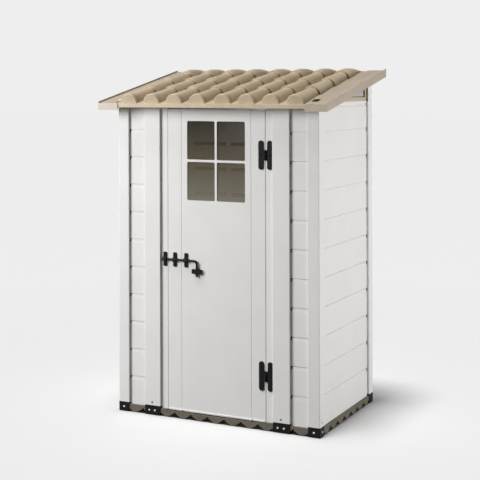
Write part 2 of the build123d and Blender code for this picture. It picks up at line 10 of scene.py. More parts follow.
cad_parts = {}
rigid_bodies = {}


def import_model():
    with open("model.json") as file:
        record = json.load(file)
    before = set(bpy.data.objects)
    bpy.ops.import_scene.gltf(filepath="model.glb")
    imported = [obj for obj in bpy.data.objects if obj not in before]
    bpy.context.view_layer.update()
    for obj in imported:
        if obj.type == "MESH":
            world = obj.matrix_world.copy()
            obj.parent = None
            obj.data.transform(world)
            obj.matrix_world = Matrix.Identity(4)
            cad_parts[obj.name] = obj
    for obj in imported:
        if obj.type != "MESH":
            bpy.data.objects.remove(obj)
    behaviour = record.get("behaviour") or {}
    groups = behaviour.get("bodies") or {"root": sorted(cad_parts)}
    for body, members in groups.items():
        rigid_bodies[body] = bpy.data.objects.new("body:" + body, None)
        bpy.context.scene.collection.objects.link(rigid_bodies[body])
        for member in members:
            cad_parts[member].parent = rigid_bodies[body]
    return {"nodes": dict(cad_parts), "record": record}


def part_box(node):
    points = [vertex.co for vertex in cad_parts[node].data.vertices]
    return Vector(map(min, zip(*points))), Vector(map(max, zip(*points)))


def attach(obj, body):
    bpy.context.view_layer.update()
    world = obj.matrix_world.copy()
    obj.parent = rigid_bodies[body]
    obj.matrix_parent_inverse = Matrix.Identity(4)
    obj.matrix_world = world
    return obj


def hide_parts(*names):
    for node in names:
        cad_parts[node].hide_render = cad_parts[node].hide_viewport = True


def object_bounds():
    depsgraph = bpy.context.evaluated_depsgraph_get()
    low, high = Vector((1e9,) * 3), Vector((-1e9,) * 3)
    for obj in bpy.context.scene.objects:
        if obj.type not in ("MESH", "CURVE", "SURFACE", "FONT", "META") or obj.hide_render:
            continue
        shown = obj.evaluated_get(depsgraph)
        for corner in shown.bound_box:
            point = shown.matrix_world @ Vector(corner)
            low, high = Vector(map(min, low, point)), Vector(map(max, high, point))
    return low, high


bl_info = {
    "name": "Plastic garden shed",
    "version": (1, 0, 0),
    "blender": (4, 5, 0),
    "location": "View3D > Sidebar > Shed",
    "description": "Dresses the packed shed with moulded plastic, roof tiles and small fittings",
    "category": "Object",
}

for leftover in list(bpy.data.objects):
    bpy.data.objects.remove(leftover)
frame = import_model()
cad_low, cad_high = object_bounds()
nodes = frame["nodes"]
sides = (("left", -1), ("right", 1))
slots = {part["node"]: part["material_slot"] for part in frame["record"]["subparts"]}
post_face_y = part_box("corner_post_front_right")[0].y
plank_face_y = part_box("front_wall_right")[0].y
side_plank_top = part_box("side_wall_right")[1].z
roof_front_y = cad_low.y


# Driving values
def colour_value(name, description, default):
    return bpy.props.FloatVectorProperty(
        name=name, description=description, subtype="COLOR", size=3, min=0, max=1, default=default)


def length_value(name, description, default):
    return bpy.props.FloatProperty(name=name, description=description, unit="LENGTH", default=default)


def angle_value(name, description, default):
    return bpy.props.FloatProperty(name=name, description=description, subtype="ANGLE", default=default)


def power_value(name, description, default):
    return bpy.props.FloatProperty(name=name, description=description, unit="POWER", default=default)


def plain_value(name, description, default):
    return bpy.props.FloatProperty(name=name, description=description, default=default)


def count_value(name, description, default):
    return bpy.props.IntProperty(name=name, description=description, min=1, default=default)


class ShedColours(bpy.types.PropertyGroup):
    white: colour_value("White", "Planks, posts and door", (0.80, 0.79, 0.775))
    tan: colour_value("Tan", "Roof panels and gable frames", (0.50, 0.41, 0.285))
    taupe: colour_value("Taupe", "Floor tiles and sill rails", (0.15, 0.13, 0.098))
    black: colour_value("Black", "Hinges, bolt and feet", (0.008, 0.008, 0.0075))
    # The door window's colours paint light and shade: the pane is lighter at its foot and darker towards its
    # top.
    smoke: colour_value("Smoke", "Middle of the door window", (0.128, 0.103, 0.064))
    smoke_foot_painted_light: colour_value("Smoke foot", "Lower edge of the door window", (0.265, 0.246, 0.192))
    frost: colour_value("Frost", "Gable panes", (0.47, 0.50, 0.50))
    trim: colour_value("Trim", "Barge and return trims of the roof", (0.45, 0.375, 0.29))
    # Painted shade: the next colour darkens the bands that fill the groove behind the tiles' caps, standing in
    # for the groove's shadow.
    cap_groove_shade: colour_value("Seal", "Bands behind the tiles' caps", (0.32, 0.295, 0.26))
    # Painted shade: the next colour darkens the strips in the front channels, standing in for the shadow in
    # the gaps beside the posts.
    channel_shade: colour_value("Gasket", "Seals in the front channels", (0.62, 0.58, 0.53))
    steel: colour_value("Steel", "Plated screws", (0.45, 0.45, 0.44))


class ShedRoof(bpy.types.PropertyGroup):
    pitch: angle_value("Pitch", "Slope of the roof", radians(11.33))
    eave_height: length_value("Eave height", "Top of the sheet at the front edge", 1.722)
    sheet: length_value("Sheet", "Thickness of the panels", 0.006)
    front_gap: length_value("Front gap", "From the trims' front to the sheet", 0.005)
    lip_thickness: length_value("Lip thickness", "Thickness of the eave lip", 0.005)
    first_column: length_value("First column", "From the middle to the first tile column", 0.077)
    column_pitch: length_value("Column pitch", "Between tile columns", 0.1415)
    columns: count_value("Columns", "Tile columns on each panel", 4)
    first_length: length_value("First tile", "Visible length of the lowest tile", 0.231)
    course_length: length_value("Course length", "Visible length of the other tiles", 0.218)
    setback: length_value("Setback", "From the eave to the first tile", 0.024)
    cap_length: length_value("Cap length", "Length of the cap on the lowest tile", 0.022)
    cap_step: length_value("Cap step", "From the cap down to the tile behind it", 0.0026)
    cap_gap: length_value("Cap gap", "Length of the groove behind the cap", 0.010)
    hood_length: length_value("Hood length", "Length of the falling upper ends", 0.072)
    hood_setback: length_value("Hood setback", "From the back edge to the upper ends", 0.008)
    hood_share: plain_value("Hood share", "Share of the height left where the upper ends stop", 0.12)
    recess: length_value("Recess", "Depth of the gaps at a mouth's feet", 0.022)
    mouth_radius: length_value("Mouth radius", "Lower end of a tile", 0.050)
    neck_radius: length_value("Neck radius", "Upper end of a tile", 0.039)
    rim: length_value("Rim", "Rounding of a tile's mouth", 0.004)
    wall: length_value("Wall", "Thickness of a tile", 0.004)
    return_length: length_value("Return length", "Length of the trims' front returns", 0.127)


class ShedFittings(bpy.types.PropertyGroup):
    plank_base: length_value("Plank base", "Level from which the plank joints are counted", 0.046)
    side_planks: count_value("Side planks", "Planks in a side wall", 11)
    # The next four sizes shape black hooks in the plank notches, which are painted shade for the notches' dark
    # hollows.
    notch_shade_width: length_value("Clip width", "Visible width of a plank clip", 0.0060)
    notch_shade_height: length_value("Clip height", "Height of a plank clip", 0.0175)
    notch_shade_recess: length_value("Clip recess", "From the plank's face to the clip", 0.002)
    notch_shade_depth: length_value("Clip depth", "Depth of a plank clip", 0.015)
    foot_screw: length_value("Foot screw", "Radius of the screws in the feet", 0.0055)
    small_screw: length_value("Small screw", "Radius of the screws in the posts and hinges", 0.0045)
    bevel: length_value("Edge rounding", "Rounding on the moulded edges", 0.0012)


class ShedStudio(bpy.types.PropertyGroup):
    eye: bpy.props.FloatVectorProperty(
        name="Camera", description="Place of the camera", subtype="TRANSLATION", unit="LENGTH", size=3,
        default=(2.9149, -5.9365, 1.8355))
    yaw: angle_value("Yaw", "Turn of the camera to the left", 0.460)
    roll: angle_value("Roll", "Turn of the camera about its line of sight", -0.0028)
    lens: plain_value("Lens", "Focal length in millimetres", 87.4)
    rise: plain_value("Rise", "Vertical shift of the picture", -0.3271)
    backdrop: plain_value("Backdrop", "Brightness of the backdrop", 0.855)
    floor_tone: plain_value("Floor tone", "Floor reflectance", 0.85)
    ambient: plain_value("Ambient", "Strength of the light tent", 0.12)
    sky: plain_value("Sky", "Strength of the wide light on the floor", 2.78)
    side: plain_value("Side", "Strength of the light across the roof", 3.0)
    inside: power_value("Inside", "Power of the light in the shed", 1.3)
    key: power_value("Key", "Power of the left light", 234.0)
    back: power_value("Back", "Power of the rear light", 150.0)
    fill: power_value("Fill", "Power of the right light", 88.0)


# Finishes
def new_material(name):
    material = bpy.data.materials.new("finish_" + name)
    material.use_nodes = True
    tree = material.node_tree
    return material, tree, tree.nodes["Principled BSDF"]


def finish_of(name):
    return bpy.data.materials["finish_" + name]


def noise_field(tree, scale, detail, stretch=(1, 1, 1)):
    """A noise field in the object's own metres, stretched along its axes."""
    place = tree.nodes.new("ShaderNodeTexCoord")
    mapping = tree.nodes.new("ShaderNodeMapping")
    mapping.inputs["Scale"].default_value = stretch
    noise = tree.nodes.new("ShaderNodeTexNoise")
    noise.inputs["Scale"].default_value = scale
    noise.inputs["Detail"].default_value = detail
    tree.links.new(place.outputs["Object"], mapping.inputs["Vector"])
    tree.links.new(mapping.outputs["Vector"], noise.inputs["Vector"])
    return noise.outputs["Fac"]


def colour_ramp(tree, field, stops):
    ramp = tree.nodes.new("ShaderNodeValToRGB")
    elements = ramp.color_ramp.elements
    while len(elements) < len(stops):
        elements.new(0.5)
    for element, (place, colour) in zip(elements, stops):
        element.position = place
        element.color = (*colour, 1)
    tree.links.new(field, ramp.inputs["Fac"])
    return ramp.outputs["Color"]


def value_range(tree, field, low, high):
    """A field from 0 to 1, spread between two values."""
    span = tree.nodes.new("ShaderNodeMapRange")
    span.inputs["To Min"].default_value = low
    span.inputs["To Max"].default_value = high
    tree.links.new(field, span.inputs["Value"])
    return span.outputs["Result"]


def value_share(tree, field, low, high):
    """How far a field is between two values, from 0 to 1."""
    span = tree.nodes.new("ShaderNodeMapRange")
    span.inputs["From Min"].default_value = low
    span.inputs["From Max"].default_value = high
    tree.links.new(field, span.inputs["Value"])
    return span.outputs["Result"]


def add_relief(tree, shader, field, strength, distance):
    relief = tree.nodes.new("ShaderNodeBump")
    relief.inputs["Strength"].default_value = strength
    relief.inputs["Distance"].default_value = distance
    tree.links.new(field, relief.inputs["Height"])
    tree.links.new(relief.outputs["Normal"], shader.inputs["Normal"])


def shade(colour, share):
    return tuple(min(1, channel * share) for channel in colour)


def moulded_plastic(name, colour, spread, grain, roughness, bump, stretch=(1, 1, 1), gloss=0.35):
    """Moulded plastic: cloudy colour, uneven gloss and a fine pitted skin."""
    uneven = 0.06
    material, tree, shader = new_material(name)
    cloud = noise_field(tree, scale=6.0, detail=5.0, stretch=stretch)
    tint = colour_ramp(tree, cloud, (
        (0.30, shade(colour, 1 - spread)), (0.50, colour), (0.72, shade(colour, 1 + spread))))
    tree.links.new(tint, shader.inputs["Base Color"])
    skin = noise_field(tree, scale=grain, detail=3.0, stretch=stretch)
    satin = value_range(tree, skin, roughness - uneven, roughness + uneven)
    tree.links.new(satin, shader.inputs["Roughness"])
    add_relief(tree, shader, skin, strength=bump, distance=0.0004)
    shader.inputs["Specular IOR Level"].default_value = gloss
    return material


def tinted_pane(name, colour, foot, spread, node, alpha):
    """Clear tinted sheet with faint ripples, painted lighter at its foot and darker upwards: painted light and
    shade for how the inside seen through it is lit.
    """
    low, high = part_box(node)
    material, tree, shader = new_material(name)
    place = tree.nodes.new("ShaderNodeTexCoord")
    axes = tree.nodes.new("ShaderNodeSeparateXYZ")
    tree.links.new(place.outputs["Object"], axes.inputs["Vector"])
    height = value_share(tree, axes.outputs["Z"], low.z, high.z)
    # Painted light and shade: the pane runs from the lighter foot colour up to a darker top.
    tint = colour_ramp(tree, height, ((0.0, foot), (0.45, colour), (1.0, shade(colour, 1 - spread))))
    tree.links.new(tint, shader.inputs["Base Color"])
    ripple = noise_field(tree, scale=14.0, detail=2.0)
    tree.links.new(value_range(tree, ripple, 0.10, 0.22), shader.inputs["Roughness"])
    add_relief(tree, shader, ripple, strength=0.05, distance=0.001)
    shader.inputs["Alpha"].default_value = alpha
    shader.inputs["Specular IOR Level"].default_value = 0.1
    return material


# Mesh helpers
def add_piece(name, bm, body, slot, material=None):
    """Turns a bmesh into a piece that rides on a body and takes a slot's finish."""
    crease = radians(40)
    bmesh.ops.recalc_face_normals(bm, faces=bm.faces)
    mesh = bpy.data.meshes.new(name)
    bm.to_mesh(mesh)
    bm.free()
    mesh.materials.append(material or finish_of(slot))
    for polygon in mesh.polygons:
        polygon.use_smooth = True
    mesh.set_sharp_from_angle(angle=crease)
    piece = bpy.data.objects.new(name, mesh)
    bpy.context.scene.collection.objects.link(piece)
    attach(piece, body)
    return piece


def even_shading(piece):
    piece.modifiers.new("even shading", "WEIGHTED_NORMAL").keep_sharp = True


def soften(piece, width):
    """Rounds a piece's edges, evens its shading and gives back the rounding."""
    bevel = piece.modifiers.new("edge rounding", "BEVEL")
    bevel.width = width
    bevel.segments = 2
    bevel.limit_method = "ANGLE"
    bevel.angle_limit = radians(35)
    even_shading(piece)
    return bevel


def face_axes(normal):
    """A frame on a face: across, up and out of it."""
    out = Vector(normal).normalized()
    up = Vector((0, 0, 1)) if abs(out.z) < 0.9 else Vector((0, 1, 0))
    across = up.cross(out).normalized()
    return across, out.cross(across), out


def bridge(bm, near, far, closed=False):
    """Faces between two lines of vertices, or between two loops."""
    for i in range(len(near) if closed else len(near) - 1):
        j = (i + 1) % len(near)
        bm.faces.new((near[i], near[j], far[j], far[i]))


def lathe(bm, profile, place, normal):
    """Turns (radius, height) points about a face's normal; the first and last close on the axis."""
    segments = 24
    across, up, out = face_axes(normal)
    rings = []
    for radius, height in profile:
        middle = Vector(place) + out * height
        if radius == 0:
            rings.append([bm.verts.new(middle)])
            continue
        turns = [2 * pi * i / segments for i in range(segments)]
        rings.append([bm.verts.new(middle + (across * cos(turn) + up * sin(turn)) * radius) for turn in turns])
    for low, high in zip(rings, rings[1:]):
        for i in range(segments):
            j = (i + 1) % segments
            corners = [low[i % len(low)], low[j % len(low)], high[j % len(high)], high[i % len(high)]]
            bm.faces.new(list(dict.fromkeys(corners)))


def screw_head(bm, place, normal, radius):
    """A pan head with a round recess, sunk a little into its face."""
    foot = -0.0015
    shares = ((1, 0.25), (0.85, 0.45), (0.45, 0.55), (0.38, 0.50), (0.22, 0.18), (0, 0.15))
    head = [(radius * across, radius * up) for across, up in shares]
    lathe(bm, [(0, foot), (radius, foot)] + head, place, normal)


def prism(bm, outline, depth):
    """A closed prism over a loop of points, pushed along a vector."""
    push = Vector(depth)
    near = [bm.verts.new(Vector(point)) for point in outline]
    far = [bm.verts.new(Vector(point) + push) for point in outline]
    bm.faces.new(near)
    bm.faces.new(far[::-1])
    for i in range(len(near)):
        j = (i + 1) % len(near)
        bm.faces.new((near[j], near[i], far[i], far[j]))


def slab(bm, low, high):
    """A closed block between two corners."""
    x, y, z = low
    prism(bm, ((x, y, z), (high[0], y, z), (high[0], high[1], z), (x, high[1], z)), (0, 0, high[2] - z))


def inset(points, distance):
    """A loop of (y, z) points moved inwards; the loop runs anticlockwise."""
    moved = []
    for i, point in enumerate(points):
        before = (Vector(point) - Vector(points[i - 1])).normalized()
        after = (Vector(points[(i + 1) % len(points)]) - Vector(point)).normalized()
        turn = Vector((-before.y, before.x)) + Vector((-after.y, after.x))
        moved.append(Vector(point) + turn * (distance * 2 / turn.length_squared))
    return moved


# Solids
class SHED_OT_finishes(bpy.types.Operator):
    """Make the plastics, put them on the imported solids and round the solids' edges"""
    bl_idname = "shed.finishes"
    bl_label = "Finish the solids"

    notched_walls = ("back_wall", "side_wall_left", "side_wall_right")

    def materials(self, colours):
        roof_grain = {"grain": 260, "stretch": (2.2, 0.6, 2.2)}
        moulded_plastic("white_plastic", colours.white, spread=0.02, grain=420, roughness=0.46, bump=0.25)
        moulded_plastic("tan_plastic", colours.tan, spread=0.10, roughness=0.40, bump=0.3, gloss=0.5,
                        **roof_grain)
        moulded_plastic("taupe_plastic", colours.taupe, spread=0.16, grain=300, roughness=0.66, bump=0.5)
        moulded_plastic("black_plastic", colours.black, spread=0.25, grain=360, roughness=0.45, bump=0.3,
                        gloss=0.12)
        tinted_pane("smoked_pane", colours.smoke, colours.smoke_foot_painted_light, spread=0.80,
                    node="window_pane", alpha=0.62)
        tinted_pane("gable_glazing", colours.frost, shade(colours.frost, 1.13), spread=0.08,
                    node="gable_pane_right", alpha=0.85)
        steel = moulded_plastic("steel", colours.steel, spread=0.12, grain=500, roughness=0.34, bump=0.15)
        steel.node_tree.nodes["Principled BSDF"].inputs["Metallic"].default_value = 0.8
        moulded_plastic("cap_groove_shade", colours.cap_groove_shade, spread=0.2, grain=300, roughness=0.6, bump=0.3)
        moulded_plastic("channel_shade", colours.channel_shade, spread=0.1, grain=300, roughness=0.6, bump=0.3)
        moulded_plastic("trim", colours.trim, spread=0.09, roughness=0.35, bump=0.35, gloss=0.6, **roof_grain)

    def execute(self, context):
        self.materials(context.scene.shed_colours)
        for node, solid in nodes.items():
            finish = "trim" if node.startswith("roof_trim") else slots[node]
            solid.material_slots[0].material = finish_of(finish)
            weld = solid.modifiers.new("joined faces", "WELD")
            weld.merge_threshold = 0.00001
            flat = solid.modifiers.new("plain faces", "DECIMATE")
            flat.decimate_type = "DISSOLVE"
            flat.angle_limit = radians(0.5)
            rounding = soften(solid, context.scene.shed_fittings.bevel)
            # The clamp would shrink the rounding of these walls to almost nothing
            rounding.use_clamp_overlap = node not in self.notched_walls
        return {"FINISHED"}


# Roof
riser = 0.0004  # run along the slope of a step between two radii


def hood_stop(roof):
    """Where the tiles' upper ends stop up the slope."""
    return (cad_high.y - cad_low.y) / cos(roof.pitch) - roof.hood_setback


def tile_sections(roof):
    """Stations up the slope: place, radius (None is the plain sheet), height share, recess at the feet."""
    rim_steps = 6
    body_steps = 8
    hood_steps = 8
    hood_curve = 1.3
    headroom = 0.0006
    finish = hood_stop(roof)
    knee = finish - roof.hood_length
    lows = [roof.setback]
    length = roof.first_length
    while lows[-1] + length < knee:
        lows.append(lows[-1] + length)
        length = roof.course_length
    mouth, neck, rim = roof.mouth_radius, roof.neck_radius, roof.rim
    taper = (mouth - neck) / roof.course_length

    def lift(along, radius):
        """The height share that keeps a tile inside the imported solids' box."""
        room = (cad_high.z - headroom - roof.eave_height - along * sin(roof.pitch)) / cos(roof.pitch)
        return min(1, room / radius)

    sections = [(roof.setback - riser, None, 1, 0)]
    for index, low in enumerate(lows):
        last = index + 1 == len(lows)
        start, first = low + rim / 2, mouth
        stop = knee if last else lows[index + 1] + 2 * riser
        final = mouth - taper * (stop - low) if last else neck
        if index == 0:
            for step in range(rim_steps + 1):
                turn = pi / 2 * step / rim_steps
                sections.append((low + rim * (1 - cos(turn)), mouth - rim * (1 - sin(turn)), 1, 0))
            groove = low + roof.cap_length
            groove_radius = mouth - roof.cap_step * 3
            start, first = groove + roof.cap_gap + riser, mouth - roof.cap_step
            sections.append((groove, mouth, 1, 0))
            sections.append((groove + riser, groove_radius, 1, 0))
            sections.append((groove + roof.cap_gap, groove_radius, 1, 0))
            sections.append((start, first, 1, 0))
        else:
            sections.append((low + riser, mouth - rim, 1, roof.recess))
            for step in range(rim_steps + 1):
                turn = pi * step / rim_steps
                sections.append((low + rim / 2 * (1 - sin(turn)), mouth - rim / 2 * (1 + cos(turn)), 1, 0))
        for step in range(1, body_steps + 1):
            along = start + (stop - start) * step / body_steps
            radius = first + (final - first) * step / body_steps
            opening = roof.recess if step == body_steps and not last else 0
            sections.append((along, radius, lift(along, radius), opening))
    crest, top = sections[-1][1:3]
    for step in range(1, hood_steps + 1):
        share = step / hood_steps
        height = top - (top - roof.hood_share) * share ** hood_curve
        sections.append((knee + (finish - knee) * share, crest, height, 0))
    sections.append((finish + riser, None, 1, 0))
    return sections


class SHED_OT_roof_tiles(bpy.types.Operator):
    """Build the roof panels as moulded sheets with flared tiles"""
    bl_idname = "shed.roof_tiles"
    bl_label = "Roof tiles"

    arc_steps = 24
    lip_steps = 8
    foot_power = 6  # how closely a mouth's gaps keep to its feet
    least_run = 0.00002  # between two stations of the sheet
    doubled = 0.000001

    def row(self, bm, at, along, feet, columns, ends, radius, level, skirt, lift=1, recess=0):
        """One line of vertices across the panel; the tiles rise from it where radius is given."""
        place = at(feet)
        line = [place(ends[0], level)]
        for x, rest in columns:
            spread = rest if radius is None else radius
            if skirt:
                line.append(place(x - spread, level))
            for step in range(self.arc_steps + 1):
                turn = pi * (1 - step / self.arc_steps)
                height = level if radius is None else max(level, 0) + spread * lift * sin(turn)
                inner = 0 < step < self.arc_steps
                raised = at(along + recess * cos(turn) ** self.foot_power) if inner else place
                line.append(raised(x + spread * cos(turn), height))
            if skirt:
                line.append(place(x + spread, level))
        line.append(place(ends[1], level))
        return [bm.verts.new(point) for point in line]

    def upper_rows(self, bm, roof, at, centres, ends, start, finish):
        """The tiled face, station by station; its feet never run back down the slope."""
        stations = [(start, None, 1, 0)] + tile_sections(roof) + [(finish, None, 1, 0)]
        mouth_rest = roof.mouth_radius - roof.rim
        hood_rest = stations[-3][1]
        rows = []
        feet = 0
        for index, (along, radius, lift, recess) in enumerate(stations):
            rest = mouth_rest if index < len(stations) / 2 else hood_rest
            feet = max(along, feet + self.least_run)
            columns = [(x, rest) for x in centres]
            rows.append(self.row(bm, at, along, feet, columns, ends, radius, 0.0, False, lift, recess))
        return rows

    def lower_rows(self, bm, roof, at, centres, ends, start, finish):
        """The underside, hollow below the tiles."""
        inner = roof.neck_radius - roof.wall
        hollow_start = roof.setback + roof.wall
        hollow_end = hood_stop(roof) - roof.hood_length * 2
        stations = ((start, None), (hollow_start, None), (hollow_start + riser, inner),
                    (hollow_end - riser, inner), (hollow_end, None), (finish, None))
        columns = [(x, inner) for x in centres]
        return [self.row(bm, at, along, along, columns, ends, radius, -roof.sheet, True)
                for along, radius in stations]

    def panel(self, context, side, sx):
        roof = context.scene.shed_roof
        lean = roof.pitch
        start = roof.front_gap / cos(lean)
        finish = (cad_high.y - cad_low.y - roof.sheet * sin(lean)) / cos(lean)
        low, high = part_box(f"roof_panel_{side}")
        ends = (low.x, high.x)
        centres = sorted(sx * (roof.first_column + i * roof.column_pitch) for i in range(roof.columns))

        def at(along):
            def place(x, height):
                return Vector((x, roof_front_y + along * cos(lean) - height * sin(lean),
                               roof.eave_height + along * sin(lean) + height * cos(lean)))
            return place

        bm = bmesh.new()
        top = self.upper_rows(bm, roof, at, centres, ends, start, finish)
        under = self.lower_rows(bm, roof, at, centres, ends, start, finish)
        for rows in (top, under):
            for near, far in zip(rows, rows[1:]):
                bridge(bm, near, far)
        for end in (0, -1):
            bm.faces.new(top[end] + under[end][::-1])
        for end in (0, -1):
            bm.faces.new([line[end] for line in top] + [line[end] for line in under][::-1])
        bmesh.ops.remove_doubles(bm, verts=bm.verts, dist=self.doubled)
        self.lip(bm, roof, low, high, sx)
        piece = add_piece(f"roof_tiles_{side}", bm, "shed", "tan_plastic")
        even_shading(piece)
        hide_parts(f"roof_panel_{side}")
        groove_shade_mesh = bmesh.new()
        self.cap_groove_shades(groove_shade_mesh, roof, at, centres)
        # The dark bands are painted shade in the groove behind each cap.
        add_piece(f"cap_groove_shades_{side}", groove_shade_mesh, "shed", "tan_plastic", finish_of("cap_groove_shade"))

    def cap_groove_shades(self, bm, roof, at, centres):
        """A dark half ring in the groove behind each cap: painted shade, standing in for the groove's shadow.
        """
        near_gap, both_gaps = 0.0006, 0.0008
        near = roof.setback + roof.cap_length + near_gap
        far = near + roof.cap_gap - both_gaps
        inner = roof.mouth_radius - roof.cap_step * 3.4
        outer = roof.mouth_radius - roof.cap_step * 1.3
        turns = [pi * step / self.arc_steps for step in range(self.arc_steps + 1)]
        for x in centres:
            arcs = [[bm.verts.new(at(along)(x + radius * cos(turn), radius * sin(turn))) for turn in turns]
                    for along, radius in ((near, inner), (near, outer), (far, outer), (far, inner))]
            for i, arc in enumerate(arcs):
                bridge(bm, arc, arcs[(i + 1) % len(arcs)])
            bm.faces.new([arc[0] for arc in arcs])
            bm.faces.new([arc[-1] for arc in arcs][::-1])

    def lip(self, bm, roof, low, high, sx):
        """The eave's hanging lip, with a rounded lower edge."""
        front = roof_front_y + roof.front_gap
        back = front + roof.lip_thickness
        half = roof.lip_thickness / 2
        inner_x = low.x if sx > 0 else high.x
        end_x = sx * (cad_high.x - roof.return_length)
        outline = [(inner_x, front, roof.eave_height), (inner_x, back, roof.eave_height)]
        for step in range(self.lip_steps + 1):
            turn = pi * step / self.lip_steps
            outline.append((inner_x, front + half + half * cos(turn), low.z + half - half * sin(turn)))
        prism(bm, outline, (end_x - inner_x, 0, 0))

    def execute(self, context):
        for side, sx in sides:
            self.panel(context, side, sx)
        return {"FINISHED"}


# Fittings
def plank_height(fittings):
    return (side_plank_top - fittings.plank_base) / fittings.side_planks


class SHED_OT_notch_shades(bpy.types.Operator):
    """Set a black hook in the notch at the ends of every plank joint, as painted shade for the notch's dark
    hollow, and a strip in the joint
    """
    bl_idname = "shed.plank_clips"
    bl_label = "Plank clips"

    def clip(self, bm, fittings, place, inward, out):
        """A black hook with a rounded free end, just below the plank's face; it is painted shade for the dark
        hollow behind the notch.
        """
        root_length = 0.004
        tip_steps = 8
        half = fittings.notch_shade_height / 2
        bulge = half * 0.7
        up = Vector((0, 0, 1))
        face = Vector(place) - Vector(out) * fittings.notch_shade_recess - up * half
        along = Vector(inward)
        root = face - along * root_length
        tip = face + along * (fittings.notch_shade_width - bulge)
        outline = [root - up * half, tip - up * half]
        for step in range(1, tip_steps):
            turn = -pi / 2 + pi * step / tip_steps
            outline.append(tip + along * (bulge * cos(turn)) + up * (half * sin(turn)))
        outline += [tip + up * half, root + up * half]
        prism(bm, outline, -Vector(out) * fittings.notch_shade_depth)

    def filler(self, bm, face, along, out, shown, z):
        """A shallow strip that closes a joint's chamfer up to its dark line."""
        faces_front = out[1] < 0
        near_gap = 0.006
        far_gap = 0.0005 if faces_front else near_gap
        line = 0.0034 if faces_front else 0.0016
        foot = -0.0178
        back = -0.0052
        profile = ((-0.0004, foot), (-0.0006, -line), (back, -line), (back, -0.0040), (-0.0014, foot))
        start = Vector(face)
        start[along] = shown[0] + near_gap
        start.z = z
        way = Vector((0, 0, 0))
        way[along] = shown[1] - shown[0] - near_gap - far_gap
        outline = [start + Vector(out) * depth + Vector((0, 0, height)) for depth, height in profile]
        prism(bm, outline, way)

    def wall(self, context, name, along, out, shown):
        """One wall's notch shades and strips, along its planks' axis; front walls have notch shades at one end
        only.
        """
        fittings = context.scene.shed_fittings
        low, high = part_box(name)
        plank = plank_height(fittings)
        face = Vector((low.x if out[0] < 0 else high.x, low.y if out[1] < 0 else high.y, 0))
        ends = ((shown[0], 1), (shown[1], -1))
        shaded_ends = ends[:1] if out[1] < 0 else ends
        shades = bmesh.new()
        strips = bmesh.new()

        def set_notch_shade(edge, way, z):
            place = face.copy()
            place[along] = edge
            place.z = z
            inward = Vector((0, 0, 0))
            inward[along] = way
            self.clip(shades, fittings, place, inward, out)

        z = fittings.plank_base + plank
        while z < high.z - plank / 2:
            for edge, way in shaded_ends:
                set_notch_shade(edge, way, z)
            self.filler(strips, face, along, out, shown, z)
            z += plank
        if along == 1:
            set_notch_shade(*ends[1], side_plank_top)
        add_piece(f"plank_clips_{name}", shades, "shed", "black_plastic")
        add_piece(f"joint_strips_{name}", strips, "shed", "white_plastic")

    def execute(self, context):
        for side, sx in sides:
            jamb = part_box(f"jamb_post_{side}")
            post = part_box(f"corner_post_front_{side}")
            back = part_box(f"corner_post_back_{side}")
            front_edges = sorted((jamb[0].x, jamb[1].x, post[0].x, post[1].x))[1:3]
            self.wall(context, f"front_wall_{side}", 0, (0, -1, 0), front_edges)
            self.wall(context, f"side_wall_{side}", 1, (sx, 0, 0), (post[1].y, back[0].y))
        self.wall(context, "back_wall", 0, (0, 1, 0),
                  (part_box("corner_post_back_left")[1].x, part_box("corner_post_back_right")[0].x))
        return {"FINISHED"}


